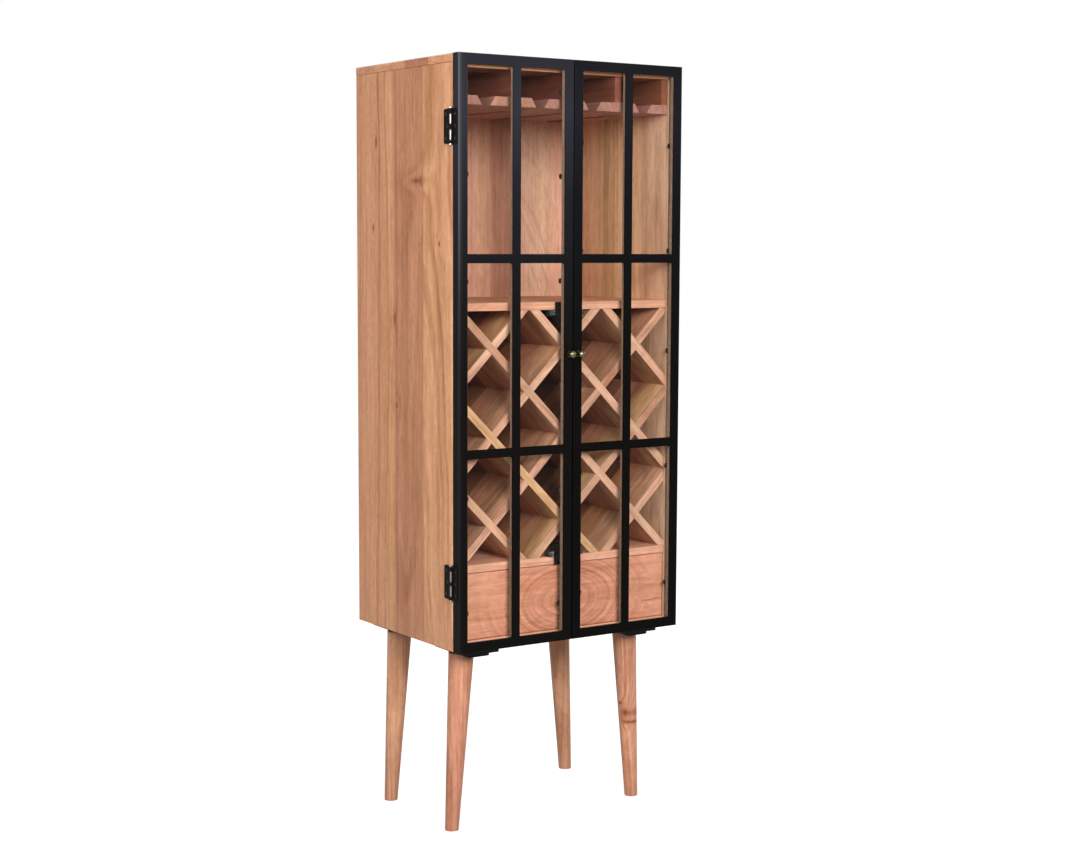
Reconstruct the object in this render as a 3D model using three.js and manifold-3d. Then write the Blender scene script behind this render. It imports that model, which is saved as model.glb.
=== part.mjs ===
// A wine cabinet on turned legs: an acacia case with two glazed steel doors, a rack for stemmed
// glasses, a cross-halved bottle lattice and a drawer. Millimetres; x runs to the right, y runs back,
// z runs up. The floor is z = 0 and the origin is under the middle of the whole cabinet.
import * as THREE from "three";
import { mergeVertices } from "three/addons/utils/BufferGeometryUtils.js";
import Module from "manifold-3d";

const wasm = await Module();
wasm.setup();

// Case
const caseWidth = 600;
const caseDepth = 432;
const caseHeight = 1300;
const sideThick = 18;
const topThick = 28;
const topRebate = 10; // the part of the top's thickness that drops between the sides
const bottomThick = 20;
const backThick = 15;
const housingDepth = 8; // how far the bottom board and the shelves are let into the sides
const housingStop = 15; // how far a housing stops short of the front and of the back
const edgeEase = 2; // rounding on the edges of the case's boards
const seat = 0.3; // gap at each glued, screwed or resting face

// Shelves and the levels inside, from the bottom board up
const shelfThick = 18;
const shelfSetback = 2;
const drawerBay = 151; // clear height under the lower shelf

// Bottle lattice
const latticeThick = 18;
const latticeSetback = 4;
const latticeClear = 0.3; // clearance in the halved joints
const halfCellsAcross = 6;
const halfCellsUp = 6;
const sideRunout = 13; // how far past the side panels the outer crossings would lie
const shelfRunout = 15.5; // how far past the shelves the outer crossings would lie

// Rack for stemmed glasses
const stemSlots = 4;
const stemSlotMouth = 22; // gap between two flanges at their lower faces
const stemBevel = 12; // how far a flange narrows on each side towards its upper face
const stemFlange = 20;
const stemWeb = 58;
const stemWebThick = 18;
const stemSetback = 4;

// Drawer
const drawerGap = 1.5; // round the drawer front
const drawerSetback = 4;
const drawerFrontThick = 18;
const drawerSideThick = 12;
const drawerSideHeight = 110;
const drawerSideGap = 3; // between the drawer box and each side panel
const drawerRearRoom = 43; // clear room behind the drawer
const drawerBottomThick = 6;
const drawerBottomRaise = 10; // under the drawer's bottom panel
const drawerGroove = 5; // depth of the drawer's grooves, housings and rebates
const smallEase = 1; // rounding on thin boards and on steel edges

// Legs and what fixes them
const legHeight = 430; // floor to the underside of the case
const legTopRadius = 29;
const legFootRadius = 15.6;
const legSplay = 25; // how far a foot stands outside its own top
const legInsetX = 72.5; // middle of a leg's top, from the case's side
const legInsetFront = 82; // middle of a front leg's top, from the case's front
const legInsetBack = 68; // middle of a back leg's top, from the case's back
const padWidth = 92;
const padLength = 124;
const padInset = 8; // from the case's front or back
const padSideInset = 34; // from the case's side
const padThick = 15;
const bracketWidth = 60;
const bracketLength = 112;
const bracketThick = 7;
const bracketCorner = 12;
const studRadius = 5;
const studLength = 30;
const studClear = 0.5;

// Doors
const doorDepth = 24;
const doorGap = 3; // between a closed door and the case
const meetingGap = 3; // between the two doors
const steelThick = 3; // wall of the angle iron, and the glazing bars
const stileWidth = 22;
const railWidth = 22;
const barWidth = 20;
const panesAcross = 2;
const panesUp = 3;
const glassThick = 4;
const glassClear = 1; // round the edge of the sheet
const strikeReach = 32; // strike plate, from the door's free edge
const strikeHeight = 48;

// Hinges
const hingeHeight = 75;
const hingeInset = 117; // from the case's top or bottom to the hinge
const knuckles = 5;
const barrelRadius = 4.5;
const pinRadius = 2.5;
const pinClear = 0.3;
const leafThick = 2;
const leafClear = 0.5; // between a leaf and the other leaf's knuckles
const caseLeafWidth = 32; // from the pin's axis
const doorLeafMargin = 4; // between the door leaf and the door's front edge
const leafCorner = 5;
const pinHeadRadius = 4;
const pinHeadHeight = 2;

// Magnetic catches
const catchHeight = 12;
const catchDepth = 17;
const catchSide = 11; // clear room beside a catch, to the lattice
const catchGap = 1; // between a catch and its closed strike plates

// Knobs
const roseRadius = 7;
const roseThick = 1.5;
const neckRadius = 3.5;
const neckLength = 4;
const ballRadius = 9;
const shankRadius = 2;
const shankClear = 0.3;

// Overrun of a cut past the piece that it cuts, and how finely round pieces are faceted
const overrun = 5;
const easeSteps = 2;
const legFacets = 36;
const smallFacets = 20;
const ballSteps = 8;
const cornerSteps = 4;

// Levels and places that follow from the sizes above
const caseBottom = legHeight;
const caseTop = legHeight + caseHeight;
const padBottom = caseBottom - padThick;
const legTop = padBottom - bracketThick; // underside of the brackets
const innerWidth = caseWidth - 2 * sideThick;
const innerX = innerWidth / 2;
const backFace = caseDepth - backThick; // inner face of the back panel
const floorTop = caseBottom + bottomThick;
const lowerShelfBottom = floorTop + drawerBay;
const latticeBottom = lowerShelfBottom + shelfThick;
const pitch = (innerWidth + 2 * sideRunout) / halfCellsAcross; // half diagonal of a lattice cell
const latticeTop = latticeBottom + halfCellsUp * pitch - 2 * shelfRunout;
const ceiling = caseTop - topThick;
const doorFront = -(doorGap + doorDepth);
const doorWidth = (caseWidth - meetingGap) / 2;
const knobReach = roseThick + neckLength + 2 * ballRadius;
const hingeX = -(caseWidth / 2 + seat + barrelRadius);
const hingeY = -doorGap / 2;

const vec = (x, y, z) => new THREE.Vector3(x, y, z);

// Finishes
const acacia = { color: 0xcd9676, roughness: 0.55, metalness: 0 };
const paleAcacia = { color: 0xd9a27f, roughness: 0.55, metalness: 0 };
const turnedAcacia = { color: 0xd79678, roughness: 0.5, metalness: 0 };
const blackPad = { color: 0x1d1c1d, roughness: 0.6, metalness: 0 };
const blackSteel = { color: 0x1c1d21, roughness: 0.38, metalness: 0.6 };
const bareSteel = { color: 0xb9babd, roughness: 0.3, metalness: 1 };
const clearGlass = { color: 0xf4f8f7, roughness: 0.03, metalness: 0, transparent: true, opacity: 0.2 };
const agedBrass = { color: 0x9a8250, roughness: 0.35, metalness: 1 };
const catchHousing = { color: 0x2b2a2b, roughness: 0.5, metalness: 0.4 };

// A closed geometry as a solid that can be joined and cut.
function solidOf(geometry) {
  const bare = geometry.clone();
  bare.deleteAttribute("normal");
  bare.deleteAttribute("uv");
  const merged = mergeVertices(bare);
  const vertProperties = new Float32Array(merged.attributes.position.array);
  const triVerts = new Uint32Array(merged.index.array);
  return new wasm.Manifold(new wasm.Mesh({ numProp: 3, vertProperties, triVerts }));
}

// The geometry of a solid, with flat faces.
function geometryOf(solid) {
  const made = solid.getMesh();
  const indexed = new THREE.BufferGeometry();
  indexed.setAttribute("position", new THREE.BufferAttribute(made.vertProperties, 3));
  indexed.setIndex(new THREE.BufferAttribute(made.triVerts, 1));
  const geometry = indexed.toNonIndexed();
  geometry.computeVertexNormals();
  return geometry;
}

function join(...geometries) {
  return geometryOf(geometries.map(solidOf).reduce((whole, next) => whole.add(next)));
}

function cut(geometry, ...tools) {
  return geometryOf(tools.map(solidOf).reduce((rest, tool) => rest.subtract(tool), solidOf(geometry)));
}

function within(geometry, limits) {
  return geometryOf(solidOf(geometry).intersect(solidOf(limits)));
}

// A named piece in its finish.
function piece(name, geometry, finish) {
  const mesh = new THREE.Mesh(geometry, new THREE.MeshStandardMaterial(finish));
  mesh.name = name;
  return mesh;
}

// The sharp-edged box between two corners.
function box(low, high) {
  const size = vec(0, 0, 0).subVectors(high, low);
  const centre = vec(0, 0, 0).addVectors(high, low).multiplyScalar(0.5);
  return new THREE.BoxGeometry(size.x, size.y, size.z).translate(centre.x, centre.y, centre.z);
}

// An outline carried straight up from zero to a length, with the edges of both ends eased.
function extrude(outline, length, ease = 0) {
  return new THREE.ExtrudeGeometry(outline, {
    depth: length - 2 * ease,
    bevelEnabled: ease > 0,
    bevelThickness: ease,
    bevelSize: ease,
    bevelOffset: -ease,
    bevelSegments: easeSteps,
    curveSegments: smallFacets,
  }).translate(0, 0, ease);
}

// A front-view outline, x and z, carried back from yFront.
function extrudeBack(outline, yFront, length, ease = 0) {
  return extrude(outline, length, ease).rotateX(Math.PI / 2).translate(0, yFront + length, 0);
}

// A rectangle about the middle of its own plane, its corners rounded to a radius.
function rectangle(width, height, corner = 0) {
  const x = width / 2;
  const y = height / 2;
  const points = [];
  for (const [sx, sy, turn] of [[1, -1, -0.5], [1, 1, 0], [-1, 1, 0.5], [-1, -1, 1]]) {
    const steps = corner > 0 ? cornerSteps : 0;
    for (let step = 0; step <= steps; step++) {
      const angle = Math.PI * (turn + (steps ? step / steps / 2 : 0));
      const centreX = sx * (x - corner);
      const centreY = sy * (y - corner);
      points.push(new THREE.Vector2(centreX + corner * Math.cos(angle), centreY + corner * Math.sin(angle)));
    }
  }
  return new THREE.Shape(points);
}

// A board that fills the box between two corners. Its broad faces lie across the given axis,
// and the edges round them are eased.
function board(low, high, axis, ease = edgeEase) {
  const size = vec(0, 0, 0).subVectors(high, low);
  const centre = vec(0, 0, 0).addVectors(high, low).multiplyScalar(0.5);
  const [across, up] = { x: [size.z, size.y], y: [size.x, size.z], z: [size.x, size.y] }[axis];
  const blank = extrude(rectangle(across, up), size[axis], ease).translate(0, 0, -size[axis] / 2);
  if (axis === "x") blank.rotateY(Math.PI / 2);
  if (axis === "y") blank.rotateX(Math.PI / 2);
  return blank.translate(centre.x, centre.y, centre.z);
}

// A turned piece from a profile of radius and height, standing on the given point.
function turned(profile, facets, foot) {
  const points = profile.map(([radius, height]) => new THREE.Vector2(radius, height));
  return new THREE.LatheGeometry(points, facets).rotateX(Math.PI / 2).translate(foot.x, foot.y, foot.z);
}

const cabinet = new THREE.Group();
const carcase = new THREE.Group();
const doors = { left: new THREE.Group(), right: new THREE.Group() };
const sides = { left: new THREE.Group(), right: new THREE.Group() };
sides.right.scale.x = -1;
doors.right.scale.x = -1;

// The bottom board and the two shelves: front edge, back edge, underside and upper face.
const levels = {
  bottom_panel: [0, caseDepth, caseBottom, floorTop],
  lower_shelf: [shelfSetback, backFace - seat, lowerShelfBottom, latticeBottom],
  middle_shelf: [shelfSetback, backFace - seat, latticeTop, latticeTop + shelfThick],
};

// The part of a level board that runs on into both housings, grown all round by a clearance.
function levelTongue([yFront, yBack, zLow, zHigh], clear) {
  const x = innerX + housingDepth - seat + clear;
  const yLow = yFront + housingStop - clear;
  const yHigh = Math.min(yBack, caseDepth - housingStop) + clear;
  return box(vec(-x, yLow, zLow - clear), vec(x, yHigh, zHigh + clear));
}

// Side panels stand under the top's rebate and are housed for the level boards.
function sidePanel(name) {
  const low = vec(-caseWidth / 2, 0, caseBottom);
  const high = vec(-innerX, caseDepth, caseTop - topThick + topRebate - seat);
  const housings = Object.values(levels).map((level) => levelTongue(level, seat));
  return piece(`side_panel_${name}`, cut(board(low, high, "x"), ...housings), acacia);
}

// The top lies over the sides, and its underside is rebated to drop between them.
function topPanel() {
  const half = caseWidth / 2;
  const tongue = innerX - seat;
  const shoulder = caseTop - topThick + topRebate;
  const outline = new THREE.Shape([
    new THREE.Vector2(-tongue, ceiling),
    new THREE.Vector2(tongue, ceiling),
    new THREE.Vector2(tongue, shoulder),
    new THREE.Vector2(half, shoulder),
    new THREE.Vector2(half, caseTop - edgeEase),
    new THREE.Vector2(half - edgeEase, caseTop),
    new THREE.Vector2(-half + edgeEase, caseTop),
    new THREE.Vector2(-half, caseTop - edgeEase),
    new THREE.Vector2(-half, shoulder),
    new THREE.Vector2(-tongue, shoulder),
  ]);
  return piece("top_panel", extrudeBack(outline, 0, caseDepth, smallEase), acacia);
}

// A level board fills the width between the sides, and its ends are let into their housings.
function levelBoard(name, level) {
  const [yFront, yBack, zLow, zHigh] = level;
  const x = innerX - seat;
  const blank = board(vec(-x, yFront, zLow), vec(x, yBack, zHigh), "z");
  return piece(name, join(blank, levelTongue(level, 0)), paleAcacia);
}

function backPanel() {
  const x = innerX - seat;
  const low = vec(-x, backFace, floorTop + seat);
  return piece("back_panel", board(low, vec(x, caseDepth, ceiling - seat), "y"), acacia);
}

// The lattice is two crossing sets of boards at 45 degrees. Column i and row j number its crossings,
// which lie where i + j is even. Rising boards keep the column less the row, falling boards their sum.
const crossingX = (column) => (column - halfCellsAcross / 2) * pitch;
const crossingZ = (row) => latticeBottom - shelfRunout + row * pitch;
const latticeFront = latticeSetback;
const latticeBack = backFace - seat;
const latticeMiddle = (latticeFront + latticeBack) / 2;

// One board: a comb outline seen from its broad face, turned to 45 degrees and cut to the opening.
// Rising boards are slotted from the front and falling boards from the back, half way each.
function latticeBoard(name, crossings, rising) {
  const diagonal = Math.SQRT2 * pitch;
  const first = crossings[0];
  const length = (crossings.length - 1) * diagonal;
  const ends = latticeThick + overrun;
  const slotHalf = latticeThick / 2 + latticeClear;
  const open = rising ? latticeFront : latticeBack;
  const closed = rising ? latticeBack : latticeFront;
  const slotEnd = latticeMiddle + (rising ? latticeClear : -latticeClear) / 2;
  const points = [new THREE.Vector2(-ends, closed), new THREE.Vector2(-ends, open)];
  for (let crossing = 0; crossing < crossings.length; crossing++) {
    const along = crossing * diagonal;
    points.push(new THREE.Vector2(along - slotHalf, open));
    points.push(new THREE.Vector2(along - slotHalf, slotEnd));
    points.push(new THREE.Vector2(along + slotHalf, slotEnd));
    points.push(new THREE.Vector2(along + slotHalf, open));
  }
  points.push(new THREE.Vector2(length + ends, open), new THREE.Vector2(length + ends, closed));
  const blank = extrude(new THREE.Shape(points), latticeThick).translate(0, 0, -latticeThick / 2);
  blank.rotateY(rising ? -Math.PI / 4 : Math.PI / 4);
  blank.translate(crossingX(first[0]), 0, crossingZ(first[1]));
  const x = innerX - seat;
  const low = vec(-x, latticeFront - overrun, latticeBottom + seat);
  const high = vec(x, latticeBack + overrun, latticeTop - seat);
  return piece(name, within(blank, box(low, high)), paleAcacia);
}

// Every board of one set, each given by the crossings that it passes through, from left to right.
function lattice(rising) {
  const boards = [];
  const word = rising ? "rising" : "falling";
  for (let line = -halfCellsUp; line <= halfCellsAcross + halfCellsUp; line++) {
    const crossings = [];
    for (let column = 0; column <= halfCellsAcross; column++) {
      const row = rising ? column - line : line - column;
      const even = (column + row) % 2 === 0;
      if (even && row >= 0 && row <= halfCellsUp) crossings.push([column, row]);
    }
    const name = `lattice_${word}_${boards.length + 1}`;
    if (crossings.length > 1) boards.push(latticeBoard(name, crossings, rising));
  }
  return boards;
}

// Rails for stemmed glasses: a web under the top and a bevelled flange that a glass's foot rides on.
const stemPitch = innerWidth / stemSlots;
function stemRail(index) {
  const x = (index - stemSlots / 2) * stemPitch;
  const reach = (stemPitch - stemSlotMouth) / 2;
  const atLeftWall = index === 0;
  const atRightWall = index === stemSlots;
  const lowLeft = atLeftWall ? seat : -reach;
  const lowRight = atRightWall ? -seat : reach;
  const highLeft = atLeftWall ? lowLeft : lowLeft + stemBevel;
  const highRight = atRightWall ? lowRight : lowRight - stemBevel;
  const webLeft = atLeftWall ? lowLeft : atRightWall ? -stemWebThick : -stemWebThick / 2;
  const webRight = atRightWall ? lowRight : atLeftWall ? stemWebThick : stemWebThick / 2;
  const top = ceiling - seat;
  const shoulder = top - stemWeb;
  const outline = new THREE.Shape([
    new THREE.Vector2(lowLeft, shoulder - stemFlange),
    new THREE.Vector2(lowRight, shoulder - stemFlange),
    new THREE.Vector2(highRight, shoulder),
    new THREE.Vector2(webRight, shoulder),
    new THREE.Vector2(webRight, top),
    new THREE.Vector2(webLeft, top),
    new THREE.Vector2(webLeft, shoulder),
    new THREE.Vector2(highLeft, shoulder),
  ]);
  const length = backFace - seat - stemSetback;
  const rail = extrudeBack(outline, stemSetback, length).translate(x, 0, 0);
  return piece(`stem_rail_${index + 1}`, rail, paleAcacia);
}

// The drawer slides on the bottom board. Its front is housed for the sides and grooved for the bottom,
// and its back stands in rebates on top of the bottom panel.
const drawerRear = backFace - drawerRearRoom;
const drawerFrontRear = drawerSetback + drawerFrontThick;
const drawerX = innerX - drawerSideGap;
const drawerFloor = floorTop + seat;
const drawerPanelLow = drawerFloor + drawerBottomRaise;
const drawerPanelHigh = drawerPanelLow + drawerBottomThick;
const drawerTop = drawerFloor + drawerSideHeight;

function drawerBottomBox(clear) {
  const x = drawerX - drawerSideThick + drawerGroove - seat + clear;
  const yFront = drawerFrontRear - drawerGroove + seat - clear;
  const low = vec(-x, yFront, drawerPanelLow - clear);
  return box(low, vec(x, drawerRear + clear, drawerPanelHigh + clear));
}

function drawerBackBox(clear) {
  const x = drawerX - drawerSideThick + drawerGroove - seat + clear;
  const low = vec(-x, drawerRear - drawerSideThick - clear, drawerPanelHigh + seat - clear);
  return box(low, vec(x, drawerRear + clear, drawerTop + clear));
}

function drawerSideBox(clear) {
  const low = vec(-drawerX - clear, drawerFrontRear - drawerGroove + seat - clear, drawerFloor - clear);
  return box(low, vec(-drawerX + drawerSideThick + clear, drawerRear + clear, drawerTop + clear));
}

function drawerFront() {
  const x = innerX - drawerGap;
  const low = vec(-x, drawerSetback, floorTop + drawerGap);
  const high = vec(x, drawerFrontRear, lowerShelfBottom - drawerGap);
  const leftHousing = drawerSideBox(seat);
  const rightHousing = leftHousing.clone().translate(2 * drawerX - drawerSideThick, 0, 0);
  const blank = board(low, high, "y");
  return piece("drawer_front", cut(blank, leftHousing, rightHousing, drawerBottomBox(seat)), acacia);
}

function drawerSide(name) {
  const side = cut(drawerSideBox(0), drawerBottomBox(seat), drawerBackBox(seat));
  return piece(`drawer_side_${name}`, side, paleAcacia);
}

// A turned leg, the bore in it and the stud that goes there share one leaning axis. Heights along it
// are taken from the middle of the leg's top, which is cut level under its bracket.
const legLean = Math.atan2(legSplay, legTop);
const legLength = Math.hypot(legSplay, legTop);
const legX = -caseWidth / 2 + legInsetX;
const padX = -caseWidth / 2 + padSideInset + padWidth / 2;
const places = [["front", 1], ["back", -1]];
const fromEnd = (sign, inset) => (sign > 0 ? inset : caseDepth - inset);

function leaning(profile, facets, sign) {
  const geometry = turned(profile, facets, vec(0, 0, 0)).rotateY(legLean);
  return geometry.translate(legX, fromEnd(sign, sign > 0 ? legInsetFront : legInsetBack), legTop);
}

function leg(name, sign) {
  const blank = leaning([
    [0, -legLength - overrun],
    [legFootRadius, -legLength - overrun],
    [legFootRadius, -legLength],
    [legTopRadius, 0],
    [legTopRadius, overrun],
    [0, overrun],
  ], legFacets, sign);
  const boreRadius = studRadius + studClear;
  const bore = leaning([
    [0, -studLength - studClear],
    [boreRadius, -studLength - studClear],
    [boreRadius, overrun],
    [0, overrun],
  ], smallFacets, sign);
  const levelCuts = box(vec(-caseWidth, 0, 0), vec(0, caseDepth, legTop - seat));
  return piece(`leg_${name}`, cut(within(blank, levelCuts), bore), turnedAcacia);
}

function legPad(name, sign) {
  const ends = [fromEnd(sign, padInset), fromEnd(sign, padInset + padLength)];
  const low = vec(padX - padWidth / 2, Math.min(...ends), padBottom);
  const high = vec(padX + padWidth / 2, Math.max(...ends), caseBottom - seat);
  return piece(`leg_pad_${name}`, board(low, high, "z", smallEase), blackPad);
}

// The bracket is a rounded plate under the middle of the pad, with a leaning stud for the leg.
function legBracket(name, sign) {
  const outline = rectangle(bracketWidth, bracketLength, bracketCorner);
  const plate = extrude(outline, bracketThick - seat, smallEase);
  plate.translate(padX, fromEnd(sign, padInset + padLength / 2), legTop);
  const stud = leaning([
    [0, -studLength],
    [studRadius, -studLength],
    [studRadius, bracketThick / 2],
    [0, bracketThick / 2],
  ], smallFacets, sign);
  return piece(`leg_bracket_${name}`, join(plate, stud), blackSteel);
}

// A door is one welded frame: an angle-iron ring, glazing bars flush with its front flange, and two
// strike plates on the free stile. All of it is drawn for the left door and mirrored for the right.
const doorLeft = -caseWidth / 2;
const doorRight = doorLeft + doorWidth;
const doorMiddleX = (doorLeft + doorRight) / 2;
const doorMiddleZ = (caseBottom + caseTop) / 2;
const paneWidth = (doorWidth - 2 * stileWidth - (panesAcross - 1) * barWidth) / panesAcross;
const paneHeight = (caseHeight - 2 * railWidth - (panesUp - 1) * barWidth) / panesUp;
const knobX = doorRight - stileWidth / 2;

// The magnetic catches sit in the half cells of the lattice, under one shelf and on the other.
const halfCell = pitch - shelfRunout - latticeThick / Math.SQRT2 - catchHeight;
const catchX = halfCell - catchSide;
const catchFront = -doorGap + catchGap;
const catchLevels = { upper: latticeTop - seat - catchHeight, lower: latticeBottom + seat };

function slab(width, height, yFront, depth, ease) {
  const blank = extrudeBack(rectangle(width, height), yFront, depth, ease);
  return blank.translate(doorMiddleX, 0, doorMiddleZ);
}

function knobTurning(profile, facets) {
  return turned(profile, facets, vec(0, 0, 0)).rotateX(Math.PI / 2).translate(knobX, doorFront, doorMiddleZ);
}

function doorFrame(name) {
  const blank = slab(doorWidth, caseHeight, doorFront, doorDepth, smallEase);
  const pocketWidth = doorWidth - 2 * steelThick;
  const pocketHeight = caseHeight - 2 * steelThick;
  const tools = [slab(pocketWidth, pocketHeight, doorFront + steelThick, doorDepth, 0)];
  for (let column = 0; column < panesAcross; column++) {
    for (let row = 0; row < panesUp; row++) {
      const x = (column - (panesAcross - 1) / 2) * (paneWidth + barWidth);
      const z = (row - (panesUp - 1) / 2) * (paneHeight + barWidth);
      const pane = slab(paneWidth, paneHeight, doorFront - overrun, steelThick + 2 * overrun, 0);
      tools.push(pane.translate(x, 0, z));
    }
  }
  const holeRadius = shankRadius + shankClear;
  tools.push(knobTurning([
    [0, -steelThick - overrun],
    [holeRadius, -steelThick - overrun],
    [holeRadius, overrun],
    [0, overrun],
  ], smallFacets));
  const frame = cut(blank, ...tools);
  const strikes = Object.values(catchLevels).map((level) => {
    const middle = level + catchHeight / 2;
    const low = vec(doorRight - strikeReach, -doorGap - steelThick, middle - strikeHeight / 2);
    return box(low, vec(doorRight - smallEase, -doorGap - smallEase / 2, middle + strikeHeight / 2));
  });
  return piece(`door_frame_${name}`, join(frame, ...strikes), blackSteel);
}

function doorGlass(name) {
  const edge = steelThick + glassClear;
  const yFront = doorFront + steelThick + seat;
  const low = vec(doorLeft + edge, yFront, caseBottom + edge);
  const high = vec(doorRight - edge, yFront + glassThick, caseTop - edge);
  return piece(`door_glass_${name}`, box(low, high), clearGlass);
}

// A ball knob on a short neck. Its shank screws into the stile.
function knob(name) {
  const ballFoot = roseThick + neckLength;
  const profile = [
    [0, -steelThick],
    [shankRadius, -steelThick],
    [shankRadius, seat],
    [roseRadius, seat],
    [roseRadius, roseThick],
    [neckRadius, roseThick],
  ];
  const neckAngle = Math.asin(neckRadius / ballRadius);
  for (let step = 0; step <= ballSteps; step++) {
    const angle = neckAngle + (step / ballSteps) * (Math.PI - neckAngle);
    const height = ballFoot + ballRadius - ballRadius * Math.cos(angle);
    profile.push([step === ballSteps ? 0 : ballRadius * Math.sin(angle), height]);
  }
  return piece(`knob_${name}`, knobTurning(profile, smallFacets), agedBrass);
}

// A butt hinge beside the door and the case. The case leaf holds knuckles 1, 3 and 5, the door leaf
// holds 2 and 4, and each leaf is notched round the knuckles of the other.
const knuckleHeight = hingeHeight / knuckles;

function hingePost(radius, zLow, zHigh) {
  const profile = [[0, zLow], [radius, zLow], [radius, zHigh], [0, zHigh]];
  return turned(profile, smallFacets, vec(hingeX, hingeY, 0));
}

function hingeLeaf(name, zLow, onDoor) {
  const yEdge = onDoor ? doorFront + doorLeafMargin : hingeY + caseLeafWidth;
  const reach = Math.abs(yEdge - hingeY);
  const inner = hingeX + barrelRadius;
  const plate = extrude(rectangle(hingeHeight, 2 * reach, leafCorner), leafThick).rotateY(Math.PI / 2);
  plate.translate(inner - leafThick, hingeY, zLow + hingeHeight / 2);
  const ends = [hingeY, onDoor ? yEdge - overrun : yEdge + overrun];
  const low = vec(inner - leafThick - overrun, Math.min(...ends), zLow - overrun);
  const high = vec(inner + overrun, Math.max(...ends), zLow + hingeHeight + overrun);
  const rings = [];
  const notches = [];
  const notchReach = barrelRadius + leafClear;
  for (let index = 0; index < knuckles; index++) {
    const start = zLow + index * knuckleHeight;
    const end = start + knuckleHeight;
    const own = (index % 2 === 1) === onDoor;
    if (own) rings.push(hingePost(barrelRadius, start + seat / 2, end - seat / 2));
    const notchLow = vec(inner - leafThick - overrun, hingeY - notchReach, start - seat / 2);
    const notchHigh = vec(inner + overrun, hingeY + notchReach, end + seat / 2);
    if (!own) notches.push(box(notchLow, notchHigh));
  }
  const leaf = cut(within(plate, box(low, high)), ...notches);
  const bore = hingePost(pinRadius + pinClear, zLow - overrun, zLow + hingeHeight + overrun);
  return piece(name, cut(join(leaf, ...rings), bore), blackSteel);
}

function hingePin(name, zLow) {
  const zHigh = zLow + hingeHeight;
  const shaft = hingePost(pinRadius, zLow - pinHeadHeight, zHigh + pinHeadHeight);
  const lowHead = hingePost(pinHeadRadius, zLow - seat - pinHeadHeight, zLow - seat);
  const highHead = hingePost(pinHeadRadius, zHigh + seat, zHigh + seat + pinHeadHeight);
  return piece(name, join(shaft, lowHead, highHead), bareSteel);
}

function magneticCatch(name, level) {
  const low = vec(-catchX, catchFront, level);
  const high = vec(catchX, catchFront + catchDepth, level + catchHeight);
  return piece(`catch_${name}`, board(low, high, "z", smallEase), catchHousing);
}

// Everything that has a left-hand and a right-hand copy.
for (const side of ["left", "right"]) {
  sides[side].add(sidePanel(side), drawerSide(side));
  for (const [end, sign] of places) {
    const name = `${end}_${side}`;
    sides[side].add(leg(name, sign), legPad(name, sign), legBracket(name, sign));
  }
  doors[side].add(doorFrame(side), doorGlass(side), knob(side));
  const hingeLevels = { upper: caseTop - hingeInset - hingeHeight, lower: caseBottom + hingeInset };
  for (const [level, zLow] of Object.entries(hingeLevels)) {
    sides[side].add(hingeLeaf(`hinge_case_leaf_${level}_${side}`, zLow, false));
    sides[side].add(hingePin(`hinge_pin_${level}_${side}`, zLow));
    doors[side].add(hingeLeaf(`hinge_door_leaf_${level}_${side}`, zLow, true));
  }
}

carcase.add(topPanel(), backPanel());
for (const [name, level] of Object.entries(levels)) carcase.add(levelBoard(name, level));
carcase.add(...lattice(true), ...lattice(false));
for (let index = 0; index <= stemSlots; index++) carcase.add(stemRail(index));
carcase.add(drawerFront());
carcase.add(piece("drawer_back", drawerBackBox(0), paleAcacia));
carcase.add(piece("drawer_bottom", drawerBottomBox(0), paleAcacia));
for (const [name, level] of Object.entries(catchLevels)) carcase.add(magneticCatch(name, level));

cabinet.add(carcase, sides.left, sides.right, doors.left, doors.right);
cabinet.position.y = -(caseDepth + doorFront - knobReach) / 2;
export default cabinet;
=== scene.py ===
"""The looks of an acacia wine cabinet on turned legs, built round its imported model.

The sections follow the cabinet as it is put together: the view and its lamps, the boards of the case,
the bottle lattice, the stem rails, the drawer, the catches, the screws of the back, the legs, the
doors, the knobs and the hinges. Sizes are metres, and heights are from the floor.
"""

import math

import bmesh
import bpy
import numpy as np
from mathutils import Matrix, Vector


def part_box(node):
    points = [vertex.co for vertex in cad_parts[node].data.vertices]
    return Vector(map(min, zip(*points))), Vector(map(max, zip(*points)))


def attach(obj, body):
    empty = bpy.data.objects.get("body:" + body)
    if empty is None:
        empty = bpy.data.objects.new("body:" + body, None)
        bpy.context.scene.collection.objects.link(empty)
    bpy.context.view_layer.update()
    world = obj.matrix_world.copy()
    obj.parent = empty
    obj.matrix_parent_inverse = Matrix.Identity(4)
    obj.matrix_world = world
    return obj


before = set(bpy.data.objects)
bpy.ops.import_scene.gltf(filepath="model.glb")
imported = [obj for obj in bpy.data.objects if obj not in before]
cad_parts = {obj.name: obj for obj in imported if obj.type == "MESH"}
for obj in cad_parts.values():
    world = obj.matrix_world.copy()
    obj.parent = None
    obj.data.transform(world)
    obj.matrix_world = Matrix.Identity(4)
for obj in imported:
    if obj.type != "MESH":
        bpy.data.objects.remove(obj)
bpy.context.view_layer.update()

# The view: a 63 mm lens 1.33 m up, turned 34 degrees to the cabinet's left side and tipped 6 degrees
# down. The scene is a white studio floor that runs into a white backdrop, under one strong soft box in
# front and weaker ones round the rest.

image_width = 1080
focal_pixels = 1894.5
sensor_width = 36.0
far_limit = 60.0
camera_place = Vector((-2.41655, -3.70664, 1.32718))
camera_yaw = 0.5884
camera_pitch = 0.0995
camera_roll = 0.0039

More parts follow.
